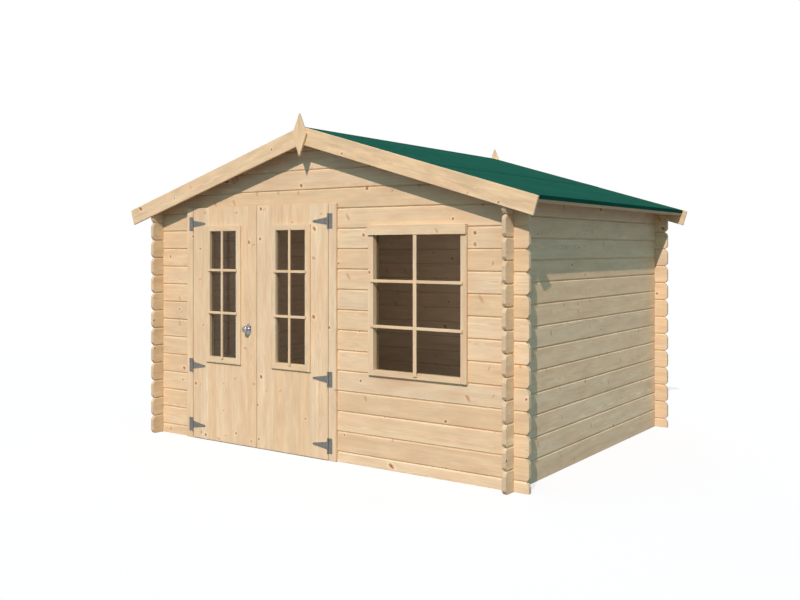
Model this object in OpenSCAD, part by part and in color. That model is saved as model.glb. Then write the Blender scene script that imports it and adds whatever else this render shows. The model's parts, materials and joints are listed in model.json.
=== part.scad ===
// Small log cabin: interlocked log walls, a low gable roof and a pair of glazed front doors.
// X runs along the front, Y from front to back and Z up. The origin is on the ground at the
// centre of the walls, and the front faces -Y.

/* [Walls] */
// Width over the outer faces of the side walls
wall_w = 3200; // [2660:10:4200]
// Depth over the outer faces of the front and rear walls
wall_d = 2510; // [2000:10:3600]
// Thickness of a log
log_t = 28; // [24:1:44]
// Height of one log course
log_h = 140; // [115:1:170]
// Courses in each side wall
side_courses = 13; // [11:1:16]
// How far the log ends stand out past the wall that they cross
stub = 102; // [60:1:140]
// Bevel on the corners of a log end, along the log
stub_bevel = 25; // [8:1:32]
// Bevel along the long edges of a log
log_bevel = 8; // [1:1:8]
// Height of the tongue on top of a log
tongue_h = 7; // [4:1:10]
// Thickness of the tongue
tongue_t = 9; // [6:1:12]

/* [Roof] */
// Slope of the roof in degrees
roof_slope = 16.58; // [12:0.01:25]
// How far the roof boards run out past the side walls, level
eave_out = 183; // [120:1:260]
// Thickness of the roof boards
roof_t = 22; // [15:1:30]
// Thickness of the roofing felt
felt_t = 3; // [2:0.5:5]
// How far the felt turns down over the edge of the roof boards
felt_drop = 20; // [5:1:21]
// Thickness of the batten under the edge of the roof boards
batten_t = 20; // [15:1:30]
// Width of that batten along the slope
batten_w = 40; // [30:1:60]
// Thickness of a purlin
purlin_t = 44; // [33:1:60]
// Depth of a purlin
purlin_h = 98; // [80:1:150]
// Distance of the side purlins from the ridge, level
purlin_x = 790; // [600:1:1000]
// How far the ends of the purlins stop short of the ends of the roof
purlin_in = 40; // [0:1:60]
// Width of a barge board
barge_w = 120; // [90:1:160]
// Thickness of the barge boards and of the finials
barge_t = 19; // [15:1:28]
// How far a barge board stands up past the felt
barge_up = 2; // [0:1:25]
// How far a barge board runs down past the edge of the roof
barge_past = 34; // [0:1:60]
// Width of a finial
finial_w = 128; // [80:1:180]
// Height of a finial
finial_h = 303; // [200:1:400]
// Height of a finial's widest point above its lower tip
finial_belly = 157; // [100:1:220]
// How far a finial stands up past the peak of the barge boards
finial_up = 89; // [40:1:140]

/* [Door frame] */
// Centre of the doorway, from the centre of the front
door_x = -518; // [-600:1:-400]
// Width over the door frame
door_w = 1500; // [1300:10:1560]
// Height of the door frame
door_h = 1788; // [1500:1:1960]
// Width of a jamb
jamb_w = 65; // [50:1:80]
// Depth of the groove in a jamb that takes the log ends
groove_d = 20; // [12:1:30]
// Height of the frame head, which stands behind the top of the leaves
head_t = 28; // [20:1:40]
// How far the stops stand into the doorway
stop_w = 12; // [8:1:20]
// Depth of a stop from front to back
stop_d = 20; // [12:1:24]
// Height of the threshold
threshold_h = 22; // [15:1:40]

/* [Door leaves] */
// Gap round a leaf and between the two leaves
leaf_gap = 6; // [6:0.5:10]
// Thickness of the boards of a leaf
leaf_t = 16; // [14:1:22]
// Height of the ledges across the back of a leaf
ledge_h = 60; // [50:1:70]
// Thickness of a ledge
ledge_t = 20; // [16:1:28]
// How far a ledge stops short of the edges of its leaf
ledge_in = 20; // [20:1:60]
// Width over the trim of a leaf's window
pane_w = 370; // [300:1:420]
// Underside of the trim of a leaf's window above the ground
pane_z = 605; // [600:1:640]
// Drop of the top of that trim below the top of the door frame
pane_drop = 142; // [130:1:300]
// Width of the trim boards of a leaf's window
pane_trim_w = 45; // [35:1:60]
// Width of the board above a leaf's window
pane_top_w = 40; // [30:1:60]
// How far that trim stands out from the leaf
pane_trim_t = 15; // [10:1:22]
// Thickness of a sheet of glass
glass_t = 4; // [3:1:6]

/* [Hinges and knob] */
// Height of the lowest hinges
hinge_low = 105; // [80:1:160]
// Height of the middle hinges
hinge_mid = 566; // [480:1:570]
// Drop of the top hinges below the top of the door frame
hinge_drop = 122; // [120:1:160]
// Height of a hinge plate
plate_h = 106; // [90:1:130]
// Width of a hinge plate from the pin to its outer edge
plate_w = 38; // [30:1:50]
// Length of a hinge strap from the pin
strap_l = 138; // [110:1:160]
// Height of a hinge strap at the pin
strap_h = 54; // [40:1:60]
// Height of a hinge strap at its tip
strap_tip = 14; // [10:1:20]
// Thickness of the hinge metal
hinge_t = 3; // [2:0.5:3]
// Radius of a hinge knuckle
knuckle_r = 5; // [4:0.5:6]
// Radius of a hinge pin
pin_r = 2.5; // [2:0.5:3]
// Distance of the knob from the free edge of its leaf
knob_in = 77; // [60:1:110]
// Height of the knob above the ground
knob_z = 875; // [800:1:1000]
// Radius of the knob
knob_r = 25; // [18:1:30]
// How far the knob stands out from the leaf
knob_out = 56; // [50:1:70]
// Width of the plate behind the knob
rose_w = 50; // [36:1:60]
// Height of the plate behind the knob
rose_h = 82; // [70:1:120]
// Thickness of the plate behind the knob
rose_t = 4; // [2:1:6]

/* [Window] */
// Centre of the window, from the centre of the front
window_x = 893; // [860:1:920]
// Width of the window opening in the logs
window_w = 726; // [600:1:740]
// Underside of the window opening above the ground
window_z = 630; // [500:1:700]
// Drop of the top of the window opening below the top of the door frame
window_drop = 178; // [175:1:400]
// How far the trim laps over the logs at the sides
trim_lap = 22; // [10:1:30]
// How far the trim laps over the logs above
trim_lap_top = 19; // [10:1:30]
// How far the trim laps over the logs below
trim_lap_low = 7; // [5:1:20]
// Width of the trim boards at the sides
trim_w = 44; // [35:1:60]
// Width of the trim board below
trim_low_w = 37; // [30:1:60]
// Width of the trim board above
trim_top_w = 65; // [45:1:80]
// Thickness of the trim boards at the sides and below
trim_t = 20; // [12:1:26]
// Thickness of the trim board above
trim_top_t = 34; // [20:1:40]
// Distance of the window glass behind the face of the wall
glass_in = 20; // [12:1:20]

/* [Hidden] */
// Gap left between pieces that bear on each other
fit = 0.3;
// Running clearance of a hinge pin in its knuckle, on the radius
pin_fit = 0.05;
// Clearance of a sheet of glass in its opening
glass_fit = 1;
// Depth of the lip that holds a sheet of glass
lip = 8;
// Small amount by which a cut runs past a surface
past = 1;

// Walls
front_y = -wall_d / 2;
log_l_x = wall_w + 2 * stub;
log_l_y = wall_d + 2 * stub;
notch_w = log_t + 2 * fit;
notch_d = log_h / 4 + fit / 2;
starter_h = log_h / 2;

// Roof: its underside meets the outer top edge of the side walls
eave_z = side_courses * log_h;
ridge_z = eave_z + wall_w / 2 * tan(roof_slope);
board_u = (wall_w / 2 + eave_out) / cos(roof_slope);
barge_u = board_u + barge_past;
barge_top = roof_t + felt_t + barge_up;
peak_z = ridge_z + barge_top / cos(roof_slope);
end_y = wall_d / 2 + stub;
purlin_y = end_y - purlin_in;
gable_from = floor((door_h - starter_h) / log_h);
gable_courses = ceil((ridge_z - starter_h) / log_h);
function roof_z(x) = ridge_z - abs(x) * tan(roof_slope);

// Doors: the leaves stand in front of the logs by the gap, flush with the jambs
frame_proud = leaf_t + leaf_gap;
face_y = front_y - frame_proud;
open_half = door_w / 2 - jamb_w;
head_z = door_h - head_t;
leaf_x0 = leaf_gap / 2;
leaf_x1 = open_half - leaf_gap;
leaf_z0 = leaf_gap;
leaf_z1 = door_h;
leaf_back = face_y + leaf_t;
stop_y = leaf_back + leaf_gap;
pane_x = (leaf_x0 + leaf_x1) / 2;
pane_x0 = pane_x - pane_w / 2;
pane_x1 = pane_x + pane_w / 2;
pane_z1 = door_h - pane_drop;
pane_lip = pane_trim_w - lip;
pane_top_lip = pane_top_w - lip;
pane_glass_y = face_y + leaf_t * 0.6;
log_end = door_w / 2 - groove_d + 2;

// Hinges
axis_x = open_half - leaf_gap / 2;
plate_back = knuckle_r * 0.9;
axis_y = face_y - fit - plate_back;
hinge_zs = [hinge_low, hinge_mid, door_h - hinge_drop];
ledge_z0 = min(hinge_mid - ledge_h / 2, pane_z - ledge_h - leaf_gap);
ledge_zs = [hinge_low - ledge_h / 2, ledge_z0, pane_z1 + leaf_gap];

// Window
window_x0 = window_x - window_w / 2;
window_x1 = window_x + window_w / 2;
window_z1 = door_h - window_drop;
glass_y = front_y + glass_in;

// ---- Shared shapes ----

// A block between two opposite corners
module block(low, high) {
    translate(low) cube(high - low);
}

// Extrudes an outline drawn in X and Z along Y, from y0 to y1
module along_y(y0, y1) {
    translate([0, y1, 0]) rotate([90, 0, 0]) linear_extrude(y1 - y0) children();
}

// Four boards round an opening: two stiles of full height with rails between them, or with
// the top rail over them
module ring(x0, x1, z0, z1, side, bottom, top, y0, y1, rail_in, top_y0, over = false) {
    stile_z1 = over ? z1 - top - fit : z1;
    top_in = over ? 0 : rail_in + fit;
    block([x0, y0, z0], [x0 + side, y1, stile_z1]);
    block([x1 - side, y0, z0], [x1, y1, stile_z1]);
    block([x0 + rail_in + fit, y0, z0], [x1 - rail_in - fit, y1, z0 + bottom]);
    block([x0 + top_in, top_y0, z1 - top], [x1 - top_in, y1, z1]);
}

// ---- Logs ----

// Section of a log in Y and Z: bevelled edges, a groove below and a tongue on top
module log_section(h, groove, tongue) {
    mid = log_t / 2;
    groove_w = tongue_t / 2 + fit;
    groove_h = groove ? tongue_h + fit : 0;
    low = groove ? log_bevel : 0;
    difference() {
        polygon([
            [low, 0], [log_t - low, 0], [log_t, low], [log_t, h - log_bevel],
            [log_t - log_bevel, h], [log_bevel, h], [0, h - log_bevel], [0, low]
        ]);
        translate([mid - groove_w, -past]) square([2 * groove_w, groove_h + past]);
    }
    if (tongue) {
        translate([mid - tongue_t / 2, h - log_bevel]) square([tongue_t, tongue_h + log_bevel]);
    }
}

// Lower and upper edge of one end of a log, seen from the side. A stub has rounded corners cut
// as two bevels, and a notch where it crosses the other wall.
cross = stub + log_t / 2;
low_corner = [[0, stub_bevel], [0.4 * stub_bevel, 0.4 * stub_bevel], [stub_bevel, 0]];
top_corner = [[0, 1.2 * stub_bevel], [0.4 * stub_bevel, 0.45 * stub_bevel], [stub_bevel, 0]];
function lower_end(crossed, low) = !crossed ? [[0, 0]] : !low ? [[0, 0]] : concat(
    low_corner,
    [[cross - notch_w / 2, 0], [cross - notch_w / 2, notch_d]],
    [[cross + notch_w / 2, notch_d], [cross + notch_w / 2, 0]]
);
function upper_end(crossed, h) = !crossed ? [[0, h + tongue_h]] : concat(
    [for (p = top_corner) [p[0], h - p[1]]],
    [[stub_bevel + tongue_h, h + tongue_h]],
    [[cross - notch_w / 2, h + tongue_h], [cross - notch_w / 2, h + fit - notch_d]],
    [[cross + notch_w / 2, h + fit - notch_d], [cross + notch_w / 2, h + tongue_h]]
);
function reversed(points) = [for (i = [len(points) - 1:-1:0]) points[i]];
function from_far_end(points, length) = [for (p = points) [length - p[0], p[1]]];

// One log along X, from its start at the origin. start and end say which ends cross a wall,
// low whether it lies over another wall's log and groove whether it lies on a log of its own.
module log(length, h, start, end, low = true, groove = true, tongue = true) {
    outline = concat(
        lower_end(start, low),
        reversed(from_far_end(lower_end(end, low), length)),
        from_far_end(upper_end(end, h), length),
        reversed(upper_end(start, h))
    );
    intersection() {
        rotate([90, 0, 90]) linear_extrude(length) log_section(h, groove, tongue);
        along_y(-past, log_t + past) polygon(outline);
    }
}

// A course of the front or rear wall from x0 to x1. Course -1 is the half log on the ground.
function course_z(k) = k < 0 ? 0 : starter_h + k * log_h;
module course(k, y, x0, x1, start, end) {
    h = (k < 0 ? starter_h : log_h) - fit;
    translate([x0, y, course_z(k)]) log(x1 - x0, h, start, end, low = k >= 0, groove = k >= 0);
}
module full_course(k, y) {
    course(k, y, -log_l_x / 2, log_l_x / 2, true, true);
}

module side_wall(x) {
    for (j = [0:side_courses - 1]) {
        translate([x, -log_l_y / 2, j * log_h]) rotate([0, 0, 90])
            log(log_l_y, log_h - fit, true, true, groove = j > 0, tongue = j < side_courses - 1);
    }
}
module left_wall() {
    color("wheat") side_wall(-wall_w / 2 + log_t);
}
module right_wall() {
    color("wheat") side_wall(wall_w / 2);
}
module rear_wall() {
    color("wheat") for (k = [-1:gable_from - 1]) full_course(k, wall_d / 2 - log_t);
}

// The courses above the doorway, cut to the roof and let in for the purlins
module gable(y) {
    intersection() {
        difference() {
            for (k = [gable_from:gable_courses - 1]) full_course(k, y);
            for (x = [-purlin_x, 0, purlin_x]) purlin_pocket(x, y);
        }
        along_y(y - past, y + log_t + past) polygon([
            [-log_l_x, 0], [log_l_x, 0], [log_l_x, roof_z(log_l_x) - fit],
            [0, ridge_z - fit], [-log_l_x, roof_z(log_l_x) - fit]
        ]);
    }
}
module purlin_pocket(x, y) {
    half = purlin_t / 2 + fit;
    block([x - half, y - past, roof_z(x) - purlin_h - fit], [x + half, y + log_t + past, ridge_z]);
}
module rear_gable() {
    color("wheat") gable(wall_d / 2 - log_t);
}
module front_gable() {
    half = door_w / 2 + fit;
    color("wheat") difference() {
        gable(front_y);
        block([door_x - half, front_y - past, 0], [door_x + half, front_y + log_t + past, door_h + fit]);
    }
}

// Front wall below the gable. The courses are cut by the doorway and the window.
module window_cut() {
    block([window_x0, front_y - past, window_z], [window_x1, front_y + log_t + past, window_z1]);
}
module front_wall_left() {
    color("wheat") for (k = [-1:gable_from - 1]) {
        course(k, front_y, -log_l_x / 2, door_x - log_end, true, false);
    }
}
module front_wall_under_window() {
    color("wheat") difference() {
        for (k = [-1:gable_from - 1]) if (course_z(k) < window_z - fit) {
            course(k, front_y, door_x + log_end, log_l_x / 2, false, true);
        }
        window_cut();
    }
}
module front_wall_over_window() {
    color("wheat") difference() {
        for (k = [0:gable_from - 1]) if (course_z(k + 1) > window_z1 + fit) {
            course(k, front_y, door_x + log_end, log_l_x / 2, false, true);
        }
        window_cut();
    }
}
module beside_window(x0, x1, end) {
    for (k = [0:gable_from - 1]) {
        if (course_z(k) >= window_z - fit && course_z(k + 1) <= window_z1 + fit) {
            course(k, front_y, x0, x1, false, end);
        }
    }
}
module front_wall_pier() {
    color("wheat") beside_window(door_x + log_end, window_x0, false);
}
module front_wall_right() {
    color("wheat") beside_window(window_x1, log_l_x / 2, true);
}

// ---- Door frame ----

// Places what is drawn for the right-hand half of the doorway on the side asked for
module door_side(side) {
    translate([door_x, 0, 0]) mirror([side < 0 ? 1 : 0, 0, 0]) children();
}

// A jamb is grooved over the log ends and carries a stop behind the leaf
module jamb() {
    outer = door_w / 2;
    back_y = front_y + log_t + frame_proud;
    difference() {
        block([open_half, face_y, 0], [outer, back_y, door_h]);
        block([outer - groove_d, front_y - fit, -past], [outer + past, front_y + log_t + fit, door_h + past]);
    }
    block([open_half - stop_w, stop_y, threshold_h + fit], [open_half, stop_y + stop_d, head_z - fit]);
}
module door_jamb_left() {
    color("burlywood") door_side(-1) jamb();
}
module door_jamb_right() {
    color("burlywood") door_side(1) jamb();
}
module door_head() {
    half = open_half - fit;
    back_y = front_y + log_t + frame_proud;
    color("burlywood") translate([door_x, 0, 0])
        block([-half, stop_y, head_z], [half, back_y, door_h]);
}
module door_threshold() {
    half = open_half - fit;
    back_y = front_y + log_t + frame_proud;
    color("burlywood") translate([door_x, 0, 0])
        block([-half, stop_y, 0], [half, back_y, threshold_h]);
}

// ---- Door leaves ----

module leaf() {
    difference() {
        block([leaf_x0, face_y, leaf_z0], [leaf_x1, leaf_back, leaf_z1]);
        block(
            [pane_x0 + pane_lip, face_y - past, pane_z + pane_lip],
            [pane_x1 - pane_lip, leaf_back + past, pane_z1 - pane_top_lip]
        );
    }
}
module left_door_leaf() {
    color("navajowhite") door_side(-1) leaf();
}
module right_door_leaf() {
    color("navajowhite") door_side(1) leaf();
}

module ledges() {
    for (z = ledge_zs) {
        block([leaf_x0 + ledge_in, leaf_back + fit, z], [leaf_x1 - ledge_in, leaf_back + ledge_t, z + ledge_h]);
    }
}
module left_door_ledges() {
    color("burlywood") door_side(-1) ledges();
}
module right_door_ledges() {
    color("burlywood") door_side(1) ledges();
}

// Boards round the glass on both faces of a leaf, each with a lip that reaches in to the glass
module pane_trim() {
    w = pane_trim_w;
    top = pane_top_w;
    lip_x0 = pane_x0 + pane_lip + fit;
    lip_x1 = pane_x1 - pane_lip - fit;
    lip_z0 = pane_z + pane_lip + fit;
    lip_z1 = pane_z1 - pane_top_lip - fit;
    lip_w = lip - fit;
    front = face_y - pane_trim_t;
    back = leaf_back + pane_trim_t;
    ring(pane_x0, pane_x1, pane_z, pane_z1, w, w, top, front, face_y - fit, w, front);
    ring(
        lip_x0, lip_x1, lip_z0, lip_z1, lip_w, lip_w, lip_w,
        front + past, pane_glass_y - fit, lip_w, front + past
    );
    ring(pane_x0, pane_x1, pane_z, pane_z1, w, w, top, leaf_back + fit, back, w, leaf_back + fit);
    ring(
        lip_x0, lip_x1, lip_z0, lip_z1, lip_w, lip_w, lip_w,
        pane_glass_y + glass_t + fit, back - past, lip_w, pane_glass_y + glass_t + fit
    );
}
module left_door_trim() {
    color("burlywood") door_side(-1) pane_trim();
}
module right_door_trim() {
    color("burlywood") door_side(1) pane_trim();
}

module pane_glass() {
    block(
        [pane_x0 + pane_lip + glass_fit, pane_glass_y, pane_z + pane_lip + glass_fit],
        [pane_x1 - pane_lip - glass_fit, pane_glass_y + glass_t, pane_z1 - pane_top_lip - glass_fit]
    );
}
module left_door_glass() {
    color("dimgray", 0.5) door_side(-1) pane_glass();
}
module right_door_glass() {
    color("dimgray", 0.5) door_side(1) pane_glass();
}

// ---- Hinges ----

// The plate on the jamb carries two knuckles and the pin between them
module hinge_plate() {
    half = plate_h / 2;
    inner = strap_h / 2 + 2 * fit;
    difference() {
        block([0, plate_back - hinge_t, -half], [plate_w, plate_back, half]);
        block([-past, -knuckle_r, -inner], [knuckle_r + 1, knuckle_r + past, inner]);
    }
    for (z = [-half, inner]) {
        translate([0, 0, z]) cylinder(h = half - inner, r = knuckle_r, $fn = 48);
    }
    translate([0, 0, -half]) cylinder(h = plate_h, r = pin_r, $fn = 48);
}
module hinge_plates() {
    for (z = hinge_zs) translate([axis_x, axis_y, z]) hinge_plate();
}
module left_hinge_plates() {
    color("slategray") door_side(-1) hinge_plates();
}
module right_hinge_plates() {
    color("slategray") door_side(1) hinge_plates();
}

// The tapered strap on the leaf turns on the pin with its own knuckle
module hinge_strap() {
    half = strap_h / 2;
    tip = strap_tip / 2;
    difference() {
        union() {
            along_y(plate_back - hinge_t, plate_back) {
                polygon([[0, -half], [0, half], [-strap_l + tip, tip], [-strap_l + tip, -tip]]);
                translate([-strap_l + tip, 0]) circle(r = tip, $fn = 48);
            }
            translate([0, 0, -half]) cylinder(h = strap_h, r = knuckle_r, $fn = 48);
        }
        translate([0, 0, -half - past]) cylinder(h = strap_h + 2 * past, r = pin_r + pin_fit, $fn = 48);
    }
}
module hinge_straps() {
    for (z = hinge_zs) translate([axis_x, axis_y, z]) hinge_strap();
}
module left_hinge_straps() {
    color("slategray") door_side(-1) hinge_straps();
}
module right_hinge_straps() {
    color("slategray") door_side(1) hinge_straps();
}

// A round knob on an upright plate with round ends
module door_knob() {
    neck_r = knob_r * 0.42;
    slot = (rose_h - rose_w) / 2;
    color("gray") translate([door_x - leaf_x0 - knob_in, face_y - fit, knob_z]) {
        along_y(-rose_t, 0) {
            for (z = [-slot, slot]) translate([0, z]) circle(d = rose_w, $fn = 48);
            square([rose_w, 2 * slot], center = true);
        }
        rotate([90, 0, 0]) rotate_extrude($fn = 64) intersection() {
            union() {
                square([neck_r, knob_out - knob_r]);
                translate([0, knob_out - knob_r]) circle(r = knob_r, $fn = 64);
            }
            square([knob_r, knob_out]);
        }
    }
}

// ---- Window ----

// Frame members line the opening, with a step behind for the glass
module window_frame() {
    x0 = window_x0 + fit;
    x1 = window_x1 - fit;
    z0 = window_z + fit;
    z1 = window_z1 - fit;
    side = trim_w - trim_lap;
    bottom = trim_low_w - trim_lap_low;
    top = trim_top_w - trim_lap_top;
    back = front_y + log_t;
    color("burlywood") {
        ring(x0, x1, z0, z1, side, bottom, top, front_y, glass_y, side, front_y);
        ring(
            x0, x1, z0, z1, side - lip, bottom - lip, top - lip,
            glass_y - past, back, side, glass_y - past
        );
    }
}

// Trim boards cover the joint between frame and logs on both faces of the wall
module window_trim() {
    x0 = window_x0 - trim_lap;
    x1 = window_x1 + trim_lap;
    z0 = window_z - trim_lap_low;
    z1 = window_z1 + trim_lap_top;
    outer = front_y - fit;
    inner = front_y + log_t + fit;
    lip_in = glass_y + glass_t + fit;
    side = trim_w - lip + fit;
    low = trim_low_w - lip + fit;
    lip_w = lip - fit;
    color("burlywood") {
        ring(
            x0, x1, z0, z1, trim_w, trim_low_w, trim_top_w,
            front_y - trim_t, outer, trim_w, front_y - trim_top_t, over = true
        );
        ring(
            x0, x1, z0, z1, trim_w, trim_low_w, trim_top_w,
            inner, inner + trim_t, trim_w, inner, over = true
        );
        ring(
            x0 + side, x1 - side, z0 + low, z1 - trim_top_w + lip_w,
            lip_w, lip_w, lip_w, lip_in, inner + past, lip_w, lip_in, over = true
        );
    }
}
module window_glass() {
    side = trim_w - trim_lap - lip + glass_fit;
    bottom = trim_low_w - trim_lap_low - lip + glass_fit;
    top = trim_top_w - trim_lap_top - lip + glass_fit;
    color("dimgray", 0.5) block(
        [window_x0 + side, glass_y + fit / 2, window_z + bottom],
        [window_x1 - side, glass_y + glass_t, window_z1 - top]
    );
}

// ---- Roof ----

// Draws on the roof slope: X runs down the slope from the ridge and Z stands square to it
module slope(side) {
    mirror([side < 0 ? 1 : 0, 0, 0]) translate([0, 0, ridge_z]) rotate([0, roof_slope, 0]) children();
}

// A flat layer from the plumb cut at the ridge down to u1, between heights w0 and w1
module layer(u1, w0, w1, y0, y1) {
    cut = tan(roof_slope);
    along_y(y0, y1) polygon([
        [fit / 2 - w0 * cut, w0], [u1, w0], [u1, w1], [fit / 2 - w1 * cut, w1]
    ]);
}

module side_purlin(side) {
    x0 = purlin_x - purlin_t / 2;
    x1 = purlin_x + purlin_t / 2;
    low = roof_z(purlin_x) - purlin_h;
    mirror([side < 0 ? 1 : 0, 0, 0]) along_y(-purlin_y, purlin_y)
        polygon([[x0, low], [x1, low], [x1, roof_z(x1) - fit], [x0, roof_z(x0) - fit]]);
}
module left_purlin() {
    color("wheat") side_purlin(-1);
}
module right_purlin() {
    color("wheat") side_purlin(1);
}
module ridge_purlin() {
    half = purlin_t / 2;
    low = ridge_z - purlin_h;
    color("wheat") along_y(-purlin_y, purlin_y) polygon([
        [-half, low], [half, low], [half, roof_z(half) - fit], [0, ridge_z - fit], [-half, roof_z(half) - fit]
    ]);
}

module roof_boards(side) {
    color("wheat") slope(side) layer(board_u, 0, roof_t, -end_y, end_y);
}
module roof_boards_left() {
    roof_boards(-1);
}
module roof_boards_right() {
    roof_boards(1);
}

module eave_batten(side) {
    color("burlywood") slope(side)
        block([board_u - batten_w, -end_y, -batten_t], [board_u, end_y, -fit]);
}
module eave_batten_left() {
    eave_batten(-1);
}
module eave_batten_right() {
    eave_batten(1);
}

// The felt lies on the boards and turns down over their edge
module roof_felt(side) {
    color("darkslategray") slope(side) {
        layer(board_u + fit + felt_t, roof_t + fit, roof_t + felt_t, -end_y, end_y);
        block(
            [board_u + fit, -end_y, roof_t - felt_drop],
            [board_u + fit + felt_t, end_y, roof_t + felt_t]
        );
    }
}
module roof_felt_left() {
    roof_felt(-1);
}
module roof_felt_right() {
    roof_felt(1);
}

// Barge boards close the ends of the roof in front of the log ends
module barge_pair() {
    y1 = -end_y - fit;
    for (side = [-1, 1]) {
        slope(side) layer(barge_u, barge_top - barge_w, barge_top, y1 - barge_t, y1);
    }
}
module front_barge_boards() {
    color("burlywood") barge_pair();
}
module rear_barge_boards() {
    color("burlywood") mirror([0, 1, 0]) barge_pair();
}

// Pointed board over the joint of the barge boards
module finial() {
    y1 = -end_y - barge_t - 2 * fit;
    tip_z = peak_z + finial_up;
    foot_z = tip_z - finial_h;
    belly_z = foot_z + finial_belly;
    half = finial_w / 2;
    along_y(y1 - barge_t, y1)
        polygon([[0, foot_z], [half, belly_z], [0, tip_z], [-half, belly_z]]);
}
module front_finial() {
    color("burlywood") finial();
}
module rear_finial() {
    color("burlywood") mirror([0, 1, 0]) finial();
}

left_wall();
right_wall();
rear_wall();
rear_gable();
front_wall_left();
front_wall_pier();
front_wall_right();
front_wall_under_window();
front_wall_over_window();
front_gable();
door_jamb_left();
door_jamb_right();
door_head();
door_threshold();
left_door_leaf();
right_door_leaf();
left_door_ledges();
right_door_ledges();
left_door_trim();
right_door_trim();
left_door_glass();
right_door_glass();
left_hinge_plates();
right_hinge_plates();
left_hinge_straps();
right_hinge_straps();
door_knob();
window_frame();
window_trim();
window_glass();
ridge_purlin();
left_purlin();
right_purlin();
roof_boards_left();
roof_boards_right();
eave_batten_left();
eave_batten_right();
roof_felt_left();
roof_felt_right();
front_barge_boards();
rear_barge_boards();
front_finial();
rear_finial();
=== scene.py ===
import json
import math
import random

import bmesh
import bpy
from mathutils import Matrix, Vector


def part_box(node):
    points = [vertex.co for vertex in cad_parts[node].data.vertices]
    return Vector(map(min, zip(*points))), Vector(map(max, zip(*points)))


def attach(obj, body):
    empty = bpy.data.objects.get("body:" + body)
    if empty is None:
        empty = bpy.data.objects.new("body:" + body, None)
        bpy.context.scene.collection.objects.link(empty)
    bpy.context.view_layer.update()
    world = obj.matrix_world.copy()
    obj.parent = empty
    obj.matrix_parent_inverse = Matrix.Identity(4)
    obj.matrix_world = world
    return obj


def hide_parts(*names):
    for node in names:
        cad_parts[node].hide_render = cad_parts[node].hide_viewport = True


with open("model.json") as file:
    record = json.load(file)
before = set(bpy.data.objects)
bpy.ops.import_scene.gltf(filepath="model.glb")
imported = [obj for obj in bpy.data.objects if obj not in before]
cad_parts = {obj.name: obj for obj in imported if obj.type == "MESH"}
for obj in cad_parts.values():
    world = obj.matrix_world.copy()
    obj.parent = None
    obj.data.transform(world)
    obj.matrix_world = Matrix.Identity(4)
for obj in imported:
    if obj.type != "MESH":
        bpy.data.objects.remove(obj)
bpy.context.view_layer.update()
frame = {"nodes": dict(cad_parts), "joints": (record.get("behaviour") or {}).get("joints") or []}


def deselectAll():
    if bpy.context.mode != "OBJECT":
        bpy.ops.object.mode_set(mode="OBJECT")
    bpy.ops.object.select_all(action="DESELECT")


def makeActive(piece):
    deselectAll()
    piece.select_set(True)
    bpy.context.view_layer.objects.active = piece


def applyPlace(piece):
    makeActive(piece)
    bpy.ops.object.transform_apply(location=True, rotation=True, scale=True)


def applyModifier(piece, kind, **settings):
    makeActive(piece)
    modifier = piece.modifiers.new(kind.lower(), kind)
    for name, value in settings.items():
        setattr(modifier, name, value)
    bpy.ops.object.modifier_apply(modifier=modifier.name)


# Goes into edit mode with only those vertices, edges or faces selected that pass the test
def pick(piece, kind, test):
    makeActive(piece)
    bpy.ops.object.mode_set(mode="EDIT")
    bpy.ops.mesh.select_mode(type=kind)
    bpy.ops.mesh.select_all(action="DESELECT")
    mesh = bmesh.from_edit_mesh(piece.data)
    for item in {"VERT": mesh.verts, "EDGE": mesh.edges, "FACE": mesh.faces}[kind]:
        if test(item):
            item.select_set(True)
    bmesh.update_edit_mesh(piece.data)


def leaveEdit():
    bpy.ops.object.mode_set(mode="OBJECT")


def block(name, low, high):
    low, high = Vector(low), Vector(high)
    deselectAll()
    bpy.ops.mesh.primitive_cube_add(size=1, location=(low + high) / 2, scale=high - low)
    piece = bpy.context.object
    piece.name = name
    applyPlace(piece)
    return piece


def softEdges(piece, width, segments=2, angle=30):
    applyModifier(
        piece, "BEVEL", width=width, segments=segments,
        limit_method="ANGLE", angle_limit=math.radians(angle), use_clamp_overlap=True,
    )


nearlyAlong = 0.9  # share of an edge's direction that makes it run along an axis
hair = 0.0001  # a distance that counts as none


# Bevels the edges of a board that run along one axis, 0 to 2 for X to Z
def bevelAlong(board, axis, width):
    pick(board, "EDGE", lambda e: abs((e.verts[0].co - e.verts[1].co).normalized()[axis]) > nearlyAlong)
    bpy.ops.mesh.bevel(offset=width, segments=1)
    leaveEdit()


def repeated(board, count, step):
    applyModifier(
        board, "ARRAY", count=count,
        use_relative_offset=False, use_constant_offset=True, constant_offset_displace=step,
    )


def cutAway(piece, low, high):
    cutter = block("cutter", low, high)
    applyModifier(piece, "BOOLEAN", operation="DIFFERENCE", object=cutter, solver="EXACT")
    bpy.data.objects.remove(cutter)


def pushedOut(distance):
    bpy.ops.mesh.extrude_region_move(TRANSFORM_OT_translate={"value": (0, -distance, 0)})


# Turns all faces of a closed shell outwards and leaves edit mode
def faceOutwards():
    bpy.ops.mesh.select_all(action="SELECT")
    bpy.ops.mesh.normals_make_consistent(inside=False)
    leaveEdit()


def joined(name, pieces):
    makeActive(pieces[0])
    for piece in pieces:
        piece.select_set(True)
    bpy.ops.object.join()
    pieces[0].name = name
    return pieces[0]


def copied(piece, name, place):
    twin = bpy.data.objects.new(name, piece.data.copy())
    bpy.context.collection.objects.link(twin)
    twin.data.transform(place)
    return twin


def finished(piece, body, material, replaced=()):
    piece.data.materials.clear()
    piece.data.materials.append(material)
    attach(piece, body)
    if replaced:
        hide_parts(*replaced)
    return piece


def camel(node):
    first, *rest = node.split("_")
    return first + "".join(word.capitalize() for word in rest)


mergeLook = {"doubles": 0.00002, "flatAngle": 0.5}


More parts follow.
